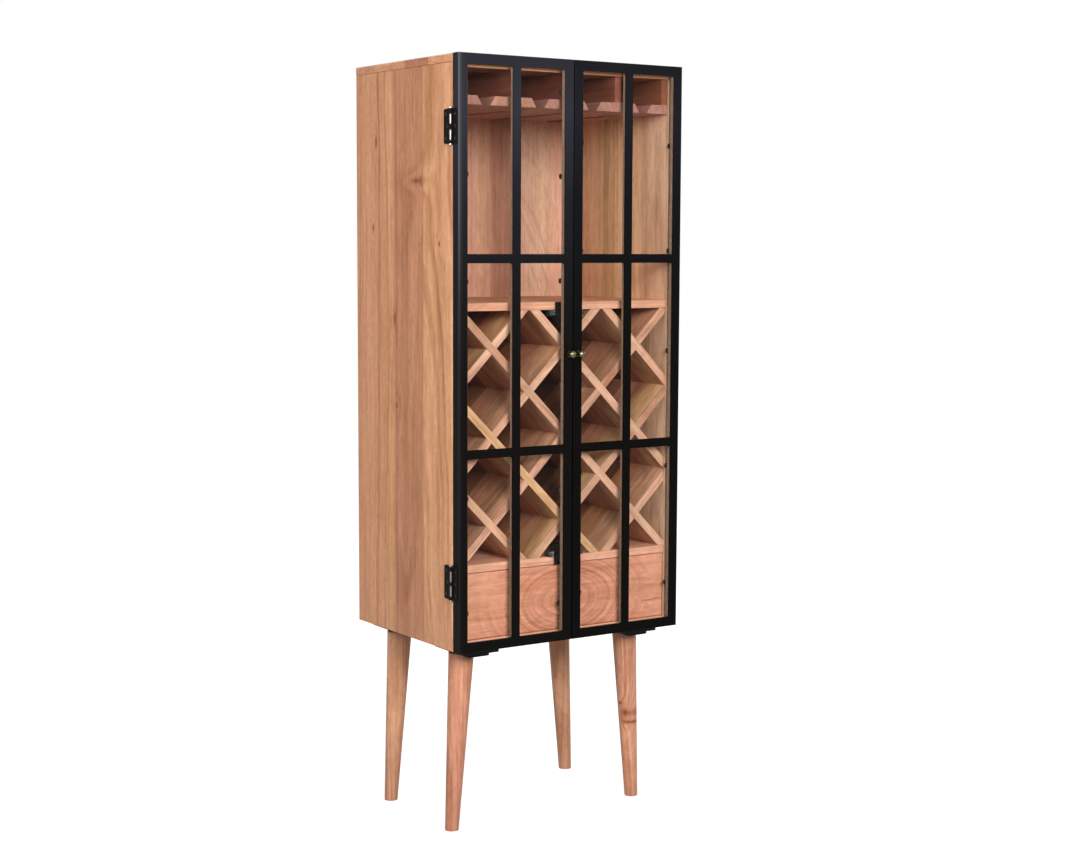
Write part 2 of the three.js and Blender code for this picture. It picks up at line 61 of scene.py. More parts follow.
forward = Vector((
    math.sin(camera_yaw) * math.cos(camera_pitch),
    math.cos(camera_yaw) * math.cos(camera_pitch),
    -math.sin(camera_pitch),
))
level_right = Vector((math.cos(camera_yaw), -math.sin(camera_yaw), 0.0))
level_up = level_right.cross(forward)
right = level_right * math.cos(camera_roll) + level_up * math.sin(camera_roll)
up = level_up * math.cos(camera_roll) - level_right * math.sin(camera_roll)

camera = bpy.data.objects.new("view", bpy.data.cameras.new("view"))
camera.data.sensor_width = sensor_width
camera.data.lens = focal_pixels / image_width * sensor_width
camera.data.clip_end = far_limit
turn = Matrix((right, up, -forward)).transposed()
camera.matrix_world = Matrix.Translation(camera_place) @ turn.to_4x4()
bpy.context.scene.collection.objects.link(camera)
bpy.context.scene.camera = camera
bpy.context.scene.view_settings.view_transform = "Standard"


def add_node(tree, kind, inputs=None, **settings):
    """One shader node. Inputs go by socket name or number, and hold a value or another node's output."""
    made = tree.nodes.new(kind)
    for name, value in settings.items():
        setattr(made, name, value)
    for key, value in (inputs or {}).items():
        if isinstance(value, bpy.types.NodeSocket):
            tree.links.new(value, made.inputs[key])
        else:
            made.inputs[key].default_value = value
    return made


def calc(tree, operation, *values, clamp=False):
    """The output of one Math node."""
    made = add_node(tree, "ShaderNodeMath", dict(enumerate(values)), operation=operation, use_clamp=clamp)
    return made.outputs[0]


def new_material(name):
    """A material with an empty tree but for its output."""
    material = bpy.data.materials.new(name)
    material.use_nodes = True
    material.node_tree.nodes.clear()
    output = material.node_tree.nodes.new("ShaderNodeOutputMaterial")
    return material, material.node_tree, output


def seen_directly(tree):
    """1 for rays that meet the studio's plain white: from the camera, and by way of metal or glass."""
    path = add_node(tree, "ShaderNodeLightPath")
    sharp = calc(tree, "MAXIMUM", path.outputs["Is Glossy Ray"], path.outputs["Is Transmission Ray"])
    return calc(tree, "MAXIMUM", path.outputs["Is Camera Ray"], sharp)


def studio_floor():
    """A floor that keeps a soft shadow near the legs and melts into the white backdrop further off."""
    half_width, grey = 12.0, 0.28
    near_glow, glow_per_metre = 0.83, 0.12
    corners = [(x * half_width, y * half_width, 0) for x, y in ((-1, -1), (1, -1), (1, 1), (-1, 1))]
    mesh = bpy.data.meshes.new("studio_floor")
    mesh.from_pydata(corners, [], [(0, 1, 2, 3)])
    floor = bpy.data.objects.new("studio_floor", mesh)
    bpy.context.scene.collection.objects.link(floor)
    material, tree, output = new_material("studio_floor")
    ground = add_node(tree, "ShaderNodeTexCoord").outputs["Object"]
    away = add_node(tree, "ShaderNodeVectorMath", {0: ground}, operation="LENGTH").outputs["Value"]
    fade = calc(tree, "MULTIPLY_ADD", away, glow_per_metre, near_glow)
    lift = calc(tree, "MULTIPLY", seen_directly(tree), calc(tree, "MINIMUM", fade, 1.0))
    matt = add_node(tree, "ShaderNodeBsdfDiffuse", {"Color": (grey, grey, grey, 1)})
    glow = add_node(tree, "ShaderNodeEmission", {"Strength": lift})
    both = add_node(tree, "ShaderNodeAddShader", {0: matt.outputs[0], 1: glow.outputs[0]})
    tree.links.new(both.outputs[0], output.inputs["Surface"])
    mesh.materials.append(material)


def studio_world(ambient):
    """White behind everything, and an even pale light from all round."""
    world = bpy.data.worlds.new("studio")
    world.use_nodes = True
    tree = world.node_tree
    tree.nodes.clear()
    output = tree.nodes.new("ShaderNodeOutputWorld")
    spare = calc(tree, "MULTIPLY", seen_directly(tree), 1.0 - ambient)
    level = calc(tree, "ADD", spare, ambient)
    sky = add_node(tree, "ShaderNodeBackground", {"Color": (1, 1, 1, 1), "Strength": level})
    tree.links.new(sky.outputs[0], output.inputs["Surface"])
    bpy.context.scene.world = world


def soft_box(name, azimuth, height, distance, size, level):
    """A square lamp that faces the cabinet. Azimuth is in degrees from straight in front, to the left.
    Level is the share of full white that it gives a matt surface facing it at the cabinet."""
    cabinet_middle = Vector((0.0, 0.0, 1.15))
    lamp = bpy.data.lights.new(name, "AREA")
    lamp.shape = "SQUARE"
    lamp.size = size
    lamp.energy = level * math.pi**2 * distance**2
    holder = bpy.data.objects.new(name, lamp)
    bearing = math.radians(azimuth)
    place = Vector((-math.sin(bearing) * distance, -math.cos(bearing) * distance, height))
    aim = (cabinet_middle - place).to_track_quat("-Z", "Y")
    holder.matrix_world = Matrix.Translation(place) @ aim.to_matrix().to_4x4()
    bpy.context.scene.collection.objects.link(holder)


studio_floor()
studio_world(0.11)
soft_box("main_box", 16.0, 2.4, 4.4, 1.4, 1.0)
soft_box("left_box", 66.0, 2.2, 3.6, 1.4, 0.525)
soft_box("back_box", 200.0, 2.6, 3.6, 2.0, 0.5)
soft_box("right_box", -95.0, 2.4, 3.6, 2.0, 0.42)

# The case is of glued acacia boards, 15 to 28 mm thick, housed and rebated into each other under a
# satin lacquer. The sides and the back run upright, the top, the bottom and the shelves run across,
# and every plank has its own tint and heart.

front_edge = -0.19075


def from_front(*marks):
    """Marks given by their depth behind the case's front edge, as places from front to back."""
    return [(front_edge + depth, value) for depth, value in marks]


def screen_colour(red, green, blue):
    """A colour of 0 to 255 on a screen, as linear red, green, blue and alpha."""
    shares = np.array([red, green, blue]) / 255.0
    low = shares / 12.92
    high = ((shares + 0.055) / 1.055) ** 2.4
    return (*np.where(shares <= 0.04045, low, high).tolist(), 1.0)


def clamped(tree, value, gain, start):
    """Value * gain + start, held between 0 and 1."""
    return calc(tree, "MULTIPLY_ADD", value, gain, start, clamp=True)


def hypot(tree, first, second):
    """The square root of first * first + second * second."""
    square = calc(tree, "MULTIPLY", second, second)
    return calc(tree, "SQRT", calc(tree, "MULTIPLY_ADD", first, first, square))


def fibre_noise(tree, point, along, across, detail=2.0, distortion=0.0, roughness=0.5):
    """Noise drawn out along the grain: along and across are its scales, per metre."""
    drawn_out = {"Vector": point, "Scale": (along, across, across)}
    scaled = add_node(tree, "ShaderNodeMapping", drawn_out).outputs[0]
    inputs = {"Scale": 1.0, "Detail": detail, "Roughness": roughness, "Distortion": distortion}
    return add_node(tree, "ShaderNodeTexNoise", {"Vector": scaled, **inputs}).outputs["Fac"]


def colour_ramp(tree, factor, stops, joined):
    """A colour ramp over the range of its stops, each a place and a colour with alpha."""
    low = stops[0][0]
    span = stops[-1][0] - low
    share = calc(tree, "DIVIDE", calc(tree, "SUBTRACT", factor, low), span)
    ramp = add_node(tree, "ShaderNodeValToRGB", {"Fac": share})
    ramp.color_ramp.interpolation = joined
    marks = ramp.color_ramp.elements
    while len(marks) < len(stops):
        marks.new(1.0)
    for mark, (place, colour) in zip(marks, stops):
        mark.position = (place - low) / span
        mark.color = colour
    return ramp


def level_ramp(tree, factor, stops, joined):
    """A ramp of plain levels over the range of its stops, each a place and a level from 0 to 1."""
    greys = [(place, (level, level, level, 1.0)) for place, level in stops]
    return colour_ramp(tree, factor, greys, joined).outputs["Color"]


def blend(tree, amount, first, second, how="MIX"):
    """Two colours blended, by an amount from 0 to 1."""
    colours = {"Factor": amount, 6: first, 7: second}
    return add_node(tree, "ShaderNodeMix", colours, data_type="RGBA", blend_type=how).outputs[2]


def relief(tree, height, strength, depth):
    """A normal that follows a height, of which 1 stands for a depth in metres."""
    inputs = {"Height": height, "Strength": strength, "Distance": depth}
    return add_node(tree, "ShaderNodeBump", inputs).outputs[0]


def lay_surface(tree, output, colour, roughness, **inputs):
    """The surface of a material, led to its output. Further inputs have _ for a blank in a name."""
    sockets = {"Base Color": colour, "Roughness": roughness}
    sockets.update({name.replace("_", " "): value for name, value in inputs.items()})
    surface = add_node(tree, "ShaderNodeBsdfPrincipled", sockets)
    tree.links.new(surface.outputs[0], output.inputs["Surface"])


def acacia(name, grain, planks, seed, shades=(), sheets=None, knots=(), rings=None, slants=(), figure=1.0,
           ring_scale=150.0, line_depth=0.5, smoke=0.0, darker_face=None, painted_shade_foot=None, sapwood=None):
    """Lacquered acacia. The grain angles turn the board so that its x runs along the grain and its y
    across the planks, which are given by their first edges and tints. A plank's rings are circles round
    a heart that lies off the board, with a slow wander and a taper along the grain, so that a face
    shows straight lines or arches; rings instead gives the middle of an oval figure and its stretch.
    Figure is the strength of the rings, and each year's growth ends in a thin dark line.
    Shades are darker streaks across the board; on the lattice they are painted shade, deeper away from the
    front edge. Slants are the planks whose lines run askew, by how much.
    Sheets is the spacing of like boards through the thickness, each a different piece of wood. Smoke is
    the strength of dark clouds in the wood. A knot is its place and its half sizes. Darker face is the
    level through the board under which its face is stained, and the shade of that: painted shade on the
    top's underside, and on the right side the outer face, brought down from the pale tints painted light
    on its inner face. Painted_shade_foot is the height up to which a leg is painted darker toward the
    floor, as shade. Sapwood is the place and half width of a pale strip along the grain."""
    material, tree, output = new_material(name)
    place = add_node(tree, "ShaderNodeTexCoord").outputs["Object"]
    turned = add_node(tree, "ShaderNodeMapping", {"Vector": place, "Rotation": grain}).outputs[0]
    along, across, through = add_node(tree, "ShaderNodeSeparateXYZ", {"Vector": turned}).outputs

    # A plank's number rides in the alpha of its tint. It draws three chances for that piece of wood.
    most_planks, past_last, sheet_step = 16.0, 0.25, 5.0
    stops = [
        (edge, (*screen_colour(*tint)[:3], index / most_planks))
        for index, (edge, tint) in enumerate(planks)
    ]
    stops.append((planks[-1][0] + past_last, stops[-1][1]))
    plank = colour_ramp(tree, across, stops, "CONSTANT")
    tint = plank.outputs["Color"]
    number = calc(tree, "MULTIPLY", plank.outputs["Alpha"], most_planks)
    if sheets:
        sheet = calc(tree, "FLOOR", calc(tree, "MULTIPLY_ADD", through, 1 / sheets, 0.5))
        number = calc(tree, "MULTIPLY_ADD", sheet, sheet_step, number)
    key = calc(tree, "ADD", number, seed)
    chance = add_node(tree, "ShaderNodeTexWhiteNoise", {"W": key}, noise_dimensions="1D").outputs["Color"]
    chances = add_node(tree, "ShaderNodeSeparateColor", {"Color": chance}).outputs

    # Each plank reads its own stretch of noise. The wander is slow, and the ripple is fine.
    shift = calc(tree, "MULTIPLY", chances[0], 7.0)
    offset = add_node(tree, "ShaderNodeCombineXYZ", {0: shift, 1: key, 2: key}).outputs[0]
    moved = add_node(tree, "ShaderNodeVectorMath", {0: turned, 1: offset}, operation="ADD").outputs[0]
    wander = calc(tree, "SUBTRACT", fibre_noise(tree, moved, 1.7, 6.0), 0.5)
    ripple = calc(tree, "SUBTRACT", fibre_noise(tree, moved, 8.0, 40.0), 0.5)

    # The distance to the heart, bent by both, says in which year's growth a point lies.
    weight = figure
    if rings:
        centre_along, centre_across, stretch = rings
        run = calc(tree, "DIVIDE", calc(tree, "SUBTRACT", along, centre_along), stretch)
        side = calc(tree, "SUBTRACT", across, centre_across)
        bent = calc(tree, "MULTIPLY_ADD", wander, 0.018, hypot(tree, run, side))
        weight = calc(tree, "MULTIPLY", clamped(tree, bent, -11.0, 1.75), figure)
    else:
        middle_edge = planks[len(planks) // 2][0]
        heart = calc(tree, "MULTIPLY_ADD", chances[1], 0.34, -0.17)
        depth = calc(tree, "ADD", through, calc(tree, "MULTIPLY_ADD", chances[2], 0.10, 0.03))
        side = calc(tree, "SUBTRACT", calc(tree, "SUBTRACT", across, middle_edge), heart)
        radius = hypot(tree, depth, side)
        lean = calc(tree, "MULTIPLY_ADD", chances[0], 0.05, -0.02)
        drift = 0.034
        if slants:
            askew = level_ramp(tree, across, slants, "CONSTANT")
            slanted = calc(tree, "GREATER_THAN", askew, 0.1)
            lean = calc(tree, "ADD", lean, askew)
            drift = calc(tree, "MULTIPLY_ADD", askew, 0.16, drift)
            radius = calc(tree, "MULTIPLY_ADD", calc(tree, "SUBTRACT", across, radius), slanted, radius)
        bent = calc(tree, "MULTIPLY_ADD", along, lean, calc(tree, "MULTIPLY_ADD", wander, drift, radius))
    bent = calc(tree, "MULTIPLY_ADD", ripple, 0.004, bent)

    # The rings part round a knot, by a pull that dies away from it.
    spots = []
    for knot_along, knot_across, half_along, half_across in knots:
        run = calc(tree, "DIVIDE", calc(tree, "SUBTRACT", along, knot_along), half_along)
        off = calc(tree, "DIVIDE", calc(tree, "SUBTRACT", across, knot_across), half_across)
        reach = calc(tree, "MULTIPLY_ADD", ripple, 1.6, hypot(tree, run, off))
        pull = calc(tree, "EXPONENT", calc(tree, "MULTIPLY", reach, -0.45))
        bent = calc(tree, "MULTIPLY_ADD", pull, 0.016, bent)
        square = calc(tree, "MULTIPLY", reach, reach)
        stained = calc(tree, "EXPONENT", calc(tree, "MULTIPLY", square, -0.75))
        spots.append((stained, clamped(tree, reach, -1.5, 1.2)))

    # Rings are broad bands of noise, or a thin line at the end of each year, and fade out in patches.
    inputs = {"W": bent, "Scale": ring_scale, "Detail": 3.0}
    bands = add_node(tree, "ShaderNodeTexNoise", inputs, noise_dimensions="1D").outputs["Fac"]
    year = calc(tree, "FRACT", calc(tree, "MULTIPLY_ADD", bent, ring_scale * 0.6, bands))
    late = calc(tree, "MULTIPLY", calc(tree, "POWER", year, 5.0), line_depth)
    ring = calc(tree, "MAXIMUM", clamped(tree, bands, 3.2, -1.35), late)
    patches = fibre_noise(tree, moved, 1.2, 9.0, 3.0, 0.5)
    ring_share = calc(tree, "MULTIPLY", clamped(tree, patches, 1.6, -0.3), weight)
    ring_amount = calc(tree, "MULTIPLY", ring, ring_share, clamp=True)
    fibres = fibre_noise(tree, moved, 16.0, 620.0, 3.0)
    pores = clamped(tree, fibre_noise(tree, moved, 55.0, 1300.0, 1.0), 6.0, -3.8)

    # Streaks, broad bands, curl, olive and rosy patches: the scales along and across, the detail,
    # distortion and roughness of each noise, the gain and start that make it an amount, and its shade.
    marks = (
        (4.5, 120.0, 4.0, 0.6, 0.5, 4.2, -1.85, (86, 79, 73)),
        (0.9, 22.0, 2.0, 0.0, 0.5, 4.0, -1.7, (89, 87, 82)),
        (26.0, 66.0, 5.0, 1.2, 0.66, 4.2, -1.7, (84, 82, 80)),
        (2.6, 15.0, 3.0, 0.6, 0.5, 5.0, -2.6, (96, 97, 88)),
        (3.4, 19.0, 3.0, 1.1, 0.5, -5.0, 2.2, (99, 90, 90)),
    )

    def stain(colour, amount, shade):
        """The colour multiplied by a shade in hundredths, by an amount from 0 to 1."""
        return blend(tree, amount, colour, (*[part / 100 for part in shade], 1.0), "MULTIPLY")

    if sheets:
        tint = stain(tint, chances[2], (91, 84, 80))
        tint = stain(tint, calc(tree, "POWER", chances[0], 4.0), (100, 105, 78))
    colour = stain(tint, ring_amount, (66, 54, 46))
    for *weave, gain, start, shade in marks:
        colour = stain(colour, clamped(tree, fibre_noise(tree, moved, *weave), gain, start), shade)
    colour = stain(colour, clamped(tree, fibres, 2.4, -0.75), (86, 82, 78))
    colour = stain(colour, pores, (70, 62, 56))
    # Darker streaks across the board; on the lattice, painted shade that deepens away from the front edge.
    if shades:
        rippled = calc(tree, "MULTIPLY_ADD", ripple, 0.006, across)
        meander = calc(tree, "MULTIPLY_ADD", wander, 0.02, rippled)
        colour = stain(colour, level_ramp(tree, meander, shades, "LINEAR"), (58, 50, 43))
    if sapwood:
        strip_place, half_strip = sapwood
        swaying = calc(tree, "MULTIPLY_ADD", wander, 0.01, across)
        aside = calc(tree, "ABSOLUTE", calc(tree, "SUBTRACT", swaying, strip_place))
        strip = calc(tree, "MULTIPLY", clamped(tree, aside, -1.2 / half_strip, 1.2), patches)
        colour = stain(colour, strip, (120, 142, 126))
    if smoke:
        clouds = clamped(tree, fibre_noise(tree, moved, 5.0, 13.0, 4.0, 0.9, 0.6), 4.6, -2.2)
        colour = stain(colour, calc(tree, "MULTIPLY", clouds, smoke), (60, 47, 40))
    # A face painted darker: painted shade on the top's underside, and on the right side the outer face,
    # brought down from the painted-light tints of the inner face.
    if darker_face:
        outer_level, outer_shade = darker_face
        colour = stain(colour, calc(tree, "LESS_THAN", through, outer_level), outer_shade)
    # Painted shade: a leg darker toward the floor.
    if painted_shade_foot:
        colour = stain(colour, clamped(tree, along, -8.0, painted_shade_foot * 8.0), (81, 77, 77))
    for stained, core in spots:
        colour = stain(colour, stained, (62, 44, 35))
        colour = stain(colour, core, (62, 50, 44))

    gloss = calc(tree, "MULTIPLY_ADD", fibres, 0.18, 0.38)
    height = calc(tree, "MULTIPLY_ADD", pores, -0.8, calc(tree, "MULTIPLY", fibres, 0.6))
    normal = relief(tree, height, 0.3, 0.0004)
    lay_surface(tree, output, colour, gloss, Normal=normal, Specular_IOR_Level=0.25)
    return material


def dress(name, material):
    """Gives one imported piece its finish."""
    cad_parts[name].material_slots[0].material = material


upright_side = (0.0, math.pi / 2, 0.0)
upright_back = (math.pi / 2, 0.0, math.pi / 2)
level_board = (0.0, 0.0, 0.0)

left_planks = from_front((0.0, (252, 190, 146)), (0.123, (232, 168, 128)), (0.249, (246, 182, 140)))
left_knots = [
    (1.463, front_edge + 0.152, 0.0075, 0.026),
    (1.555, front_edge + 0.337, 0.014, 0.005),
    (1.360, front_edge + 0.351, 0.009, 0.0045),
    (1.324, front_edge + 0.055, 0.006, 0.004),
    (1.154, front_edge + 0.252, 0.021, 0.0065),
    (0.957, front_edge + 0.244, 0.008, 0.005),
]
left_shades = from_front(
    (0.0, 0.0), (0.045, 0.1), (0.058, 0.32), (0.066, 0.05), (0.12, 0.08), (0.127, 0.4), (0.175, 0.15),
    (0.20, 0.42), (0.237, 0.2), (0.244, 0.62), (0.259, 0.35), (0.265, 0.0), (0.295, 0.08), (0.335, 0.3),
    (0.37, 0.08), (0.425, 0.36),
)
left_wood = acacia("acacia_left_side", upright_side, left_planks, 3.0, left_shades, knots=left_knots,
                   figure=1.25, sapwood=(front_edge + 0.275, 0.007))
dress("side_panel_left", left_wood)

# The right side's tints are painted light: pale, as light falling in through the glass on its inner face.
# Its outer face is stained back down to the wood's own tone.
right_tints_painted_light = from_front(
    (0.0, (255, 212, 178)), (0.100, (255, 209, 166)), (0.145, (255, 213, 168)), (0.29, (255, 207, 168))
)
right_shades = from_front(
    (0.065, 0.0), (0.082, 0.5), (0.100, 0.35), (0.108, 0.0), (0.225, 0.0), (0.245, 0.6), (0.262, 0.0)
)
right_outer_level = -0.2985
right_wood = acacia("acacia_right_side_painted_light", upright_side, right_tints_painted_light, 8.0, right_shades, figure=1.1,
                    line_depth=0.8, darker_face=(right_outer_level, (97, 76, 69)))
dress("side_panel_right", right_wood)

top_planks = from_front(
    (0.0, (250, 184, 142)), (0.10, (204, 140, 108)), (0.203, (238, 176, 136)), (0.34, (226, 166, 128))
)
# Below this level the top's underside is painted dark, as shade under the top.
top_underside = 1.7025
top_wood = acacia("acacia_top_painted_shade", level_board, top_planks, 5.0, figure=1.2,
                  darker_face=(top_underside, (40, 30, 26)))
dress("top_panel", top_wood)

shelf_planks = from_front((0.0, (255, 194, 164)), (0.13, (246, 190, 154)), (0.26, (236, 180, 142)))
shelf_wood = acacia("acacia_shelves", level_board, shelf_planks, 31.0)
for name in ("bottom_panel", "middle_shelf", "lower_shelf"):
    dress(name, shelf_wood)

back_planks = [
    (-0.29, (236, 180, 154)), (-0.19, (228, 177, 150)), (-0.10, (240, 187, 158)), (-0.012, (246, 192, 170)),
    (0.021, (234, 184, 156)), (0.056, (222, 171, 148)), (0.132, (255, 216, 190)), (0.234, (255, 206, 184)),
]
back_shades = [(0.05, 0.0), (0.07, 0.5), (0.10, 0.35), (0.125, 0.55), (0.14, 0.0)]
back_slants = [(-0.29, 0.0), (0.132, 0.5), (0.234, 0.0)]
back_wood = acacia("acacia_back", upright_back, back_planks, 21.0, back_shades, slants=back_slants,
                   figure=0.95, ring_scale=62.0)
dress("back_panel", back_wood)

# The bottle lattice: acacia boards on edge at 45 degrees, halved into each other at every crossing,
# with the grain along each board. Every board is a different piece of wood, with painted shade: its
# tints are light at the front edge and painted darker further in, as shade deep in the cells.

board_spacing = 0.13906
# Painted shade: the tints and shades run from light at the front edge to dark deep in the cells.
board_tints_painted_shade = from_front(
    (-0.01, (255, 208, 182)), (0.0065, (255, 204, 172)), (0.085, (255, 188, 156)),
    (0.16, (208, 144, 114)), (0.225, (146, 94, 68)), (0.30, (92, 56, 40)),
)
board_painted_shade = from_front((0.0060, 0.0), (0.0085, 0.3), (0.05, 0.42), (0.11, 0.8), (0.2, 1.0))
for word, angle, seed in (("rising", math.pi / 4, 41.0), ("falling", -math.pi / 4, 57.0)):
    board_wood = acacia(f"acacia_{word}", (0.0, angle, 0.0), board_tints_painted_shade, seed, board_painted_shade,
                        sheets=board_spacing, figure=1.4, ring_scale=80.0, smoke=0.95)
    for number in range(1, 6):
        dress(f"lattice_{word}_{number}", board_wood)

# The stem rails run from front to back under the top: a web with a bevelled flange below, which the
# feet of the glasses slide on. Each is one moulded length of acacia, and the web above the flange is
# painted darker, as shade in the narrow bays under the top.

rail_spacing = 0.141
# Turned so that the planks run by height: the web above the flange has a darker tint, painted shade.
rail_grain = (-math.pi / 2, -math.pi / 2, 0.0)
rail_tints_painted_shade = [(1.60, (192, 140, 130)), (1.6445, (160, 98, 80))]
rail_wood = acacia("acacia_rails_painted_shade", rail_grain, rail_tints_painted_shade, 63.0, sheets=rail_spacing)
for number in range(1, 6):
    dress(f"stem_rail_{number}", rail_wood)

# The drawer: one wide flat-sawn acacia front, whose rings close in ovals near its middle, on a plain
# box that runs on the bottom board.

front_grain = (-math.pi / 2, 0.0, 0.0)
front_planks = [(0.0, (246, 174, 144)), (0.9, (246, 174, 144))]
front_figure = (0.006, 0.520, 1.7)
front_cracks = [(0.241, 0.491, 0.013, 0.0014), (0.262, 0.494, 0.011, 0.0018)]
front_wood = acacia("acacia_drawer_front", front_grain, front_planks, 71.0, rings=front_figure,
                    knots=front_cracks, figure=1.7, ring_scale=110.0, line_depth=1.2)
dress("drawer_front", front_wood)
box_planks = [(-0.3, (232, 180, 140)), (-0.1, (222, 168, 128)), (0.1, (234, 178, 138))]
box_wood = acacia("acacia_drawer_box", level_board, box_planks, 77.0, figure=0.7)
for name in ("drawer_side_left", "drawer_side_right", "drawer_back", "drawer_bottom"):
    dress(name, box_wood)

# Two magnetic catches behind the doors' meeting line, one under the middle shelf and one on the lower
# shelf. Each is a dark housing with two bright pole plates in front.


def even_noise(tree, place, scale, detail):
    """Noise that runs alike in all directions, its scale per metre."""
    inputs = {"Vector": place, "Scale": scale, "Detail": detail}
    return add_node(tree, "ShaderNodeTexNoise", inputs).outputs["Fac"]


def sprayed(tree, place, roughness, grain):
    """The skin of a sprayed coat: a roughness that clouds by 0.08 either way, and fine orange peel."""
    rough = calc(tree, "MULTIPLY_ADD", even_noise(tree, place, 16.0, 4.0), 0.16, roughness - 0.08)
    return rough, relief(tree, even_noise(tree, place, grain, 2.0), 0.12, 0.0002)


def coated(name, colour, roughness, metallic=0.0, grain=900.0, level=0.5, wear=None):
    """A sprayed or polished skin. Wear is a second colour that shows through in small worn patches."""
    material, tree, output = new_material(name)
    place = add_node(tree, "ShaderNodeTexCoord").outputs["Object"]
    rough, normal = sprayed(tree, place, roughness, grain)
    if wear:
        worn = clamped(tree, even_noise(tree, place, 260.0, 4.0), 4.0, -1.8)
        colour = blend(tree, worn, colour, wear)
    lay_surface(tree, output, colour, rough, Metallic=metallic, Normal=normal, Specular_IOR_Level=level)
    return material


def add_piece(name, points, faces, material, body, smooth=True):
    """A new piece from an array of points and a list of faces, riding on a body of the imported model."""
    mesh = bpy.data.meshes.new(name)
    mesh.from_pydata(np.asarray(points, float).reshape(-1, 3).tolist(), [], faces)
    shell = bmesh.new()
    shell.from_mesh(mesh)
    bmesh.ops.recalc_face_normals(shell, faces=shell.faces)
    shell.to_mesh(mesh)
    shell.free()
    mesh.materials.append(material)
    piece = bpy.data.objects.new(name, mesh)
    bpy.context.scene.collection.objects.link(piece)
    if smooth:
        mesh.polygons.foreach_set("use_smooth", np.ones(len(mesh.polygons), bool))
    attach(piece, body)


def tube_faces(count, sections, around):
    """Faces of several like tubes, each a stack of closed rings with both ends capped."""
    ring = np.arange(around)
    beside = (ring + 1) % around
    step = np.arange(sections - 1)[:, None] * around
    above = step + around
    walls = np.stack([step + ring, step + beside, above + beside, above + ring], -1).reshape(-1, 4)
    faces = []
    for index in range(count):
        start = index * sections * around
        faces += (walls + start).tolist()
        faces.append((ring + start).tolist())
        faces.append((ring[::-1] + start + (sections - 1) * around).tolist())
    return faces


def soft_blocks(centres, half, power=6.0):
    """Small blocks with rounded edges, all alike. Sections at heights z = sin(v) of the half height are
    superellipses, |x|^p + |y|^p = 1, scaled by (1 - |z|^p)^(1/p)."""
    sections, around, last_level = 7, 24, 0.93
    angle = np.linspace(0, 2 * math.pi, around, endpoint=False)
    rim = (np.abs(np.cos(angle)) ** power + np.abs(np.sin(angle)) ** power) ** (-1 / power)
    level = np.sin(np.linspace(-1, 1, sections) * math.pi / 2 * last_level)
    scale = (1 - np.abs(level) ** power) ** (1 / power)
    x = scale[:, None] * rim * np.cos(angle)
    y = scale[:, None] * rim * np.sin(angle)
    z = np.repeat(level[:, None], around, 1)
    unit = np.stack([x, y, z], -1) * np.asarray(half)
    points = unit[None] + np.asarray(centres, float)[:, None, None]
    return points, tube_faces(len(centres), sections, around)


housing_black = coated("catch_housing_black", screen_colour(34, 34, 36), 0.5)
bright_steel = coated("bright_steel", (0.36, 0.36, 0.38, 1), 0.32, 1.0, grain=1500.0)
plate_share, half_plate_gap, plate_proud = 0.4, 0.003, 0.0001
half_plate_thick, half_plate_tall = 0.0006, 0.0011
for level in ("upper", "lower"):
    dress(f"catch_{level}", housing_black)
    low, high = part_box(f"catch_{level}")
    middle = (low + high) / 2
    plates = [(middle.x, low.y - plate_proud, middle.z + side * half_plate_gap) for side in (-1, 1)]
    half_plate = ((high.x - low.x) * plate_share, half_plate_thick, half_plate_tall)
    points, faces = soft_blocks(plates, half_plate)
    add_piece(f"catch_poles_{level}", points, faces, bright_steel, "case")

# The back panel lies in its rebate and is held by a row of dark countersunk steel screws along each
# edge, 125 mm apart at the top and the bottom and 150 mm apart down the sides.


def screw_heads(centres, normal, radius):
    """Flat countersunk heads with a cross slot. A square grid (u, v) is pressed onto a disc at
    x = u * sqrt(1 - v^2 / 2), y = v * sqrt(1 - u^2 / 2), slightly domed, and a point near the middle sinks
    where |x| or |y| is under half the slot's width. The rim turns down into what the screw holds."""
    steps = 15
    half_slot, slot_end, slot_depth, dome = 0.17, 0.72, 0.28, 0.16
    root_width, root_depth = 0.6, 0.5
    line = np.linspace(-1, 1, steps)
    grid_x, grid_y = np.meshgrid(line, line, indexing="ij")
    disc_x = grid_x * np.sqrt(1 - grid_y**2 / 2)
    disc_y = grid_y * np.sqrt(1 - grid_x**2 / 2)
    reach = np.hypot(disc_x, disc_y)
    cross = (np.minimum(np.abs(disc_x), np.abs(disc_y)) < half_slot) & (reach < slot_end)
    height = dome * np.sqrt(np.clip(1 - reach**2, 0, 1)) - np.where(cross, slot_depth, 0.0)
    normal = np.array(normal, float)
    first = np.cross(normal, (0.0, 0.0, 1.0)) if abs(normal[2]) < 0.9 else np.array((1.0, 0.0, 0.0))
    second = np.cross(normal, first)
    flat = disc_x[..., None] * first + disc_y[..., None] * second
    cap = (flat + height[..., None] * normal) * radius
    root = (flat * root_width - root_depth * normal) * radius
    points = np.stack([cap, root])[None] + np.asarray(centres, float)[:, None, None, None]
    size = steps * steps
    index = np.arange(size).reshape(steps, steps)
    quads = np.stack([index[:-1, :-1], index[1:, :-1], index[1:, 1:], index[:-1, 1:]], -1).reshape(-1, 4)
    edge = np.concatenate([index[0, :-1], index[:-1, -1], index[-1, :0:-1], index[:0:-1, 0]])
    ahead = np.roll(edge, -1)
    wall = np.stack([edge, ahead, ahead + size, edge + size], -1)
    one = np.concatenate([quads, quads[:, ::-1] + size, wall])
    starts = np.arange(len(centres))[:, None, None] * 2 * size
    return points, (one + starts).reshape(-1, 4).tolist()


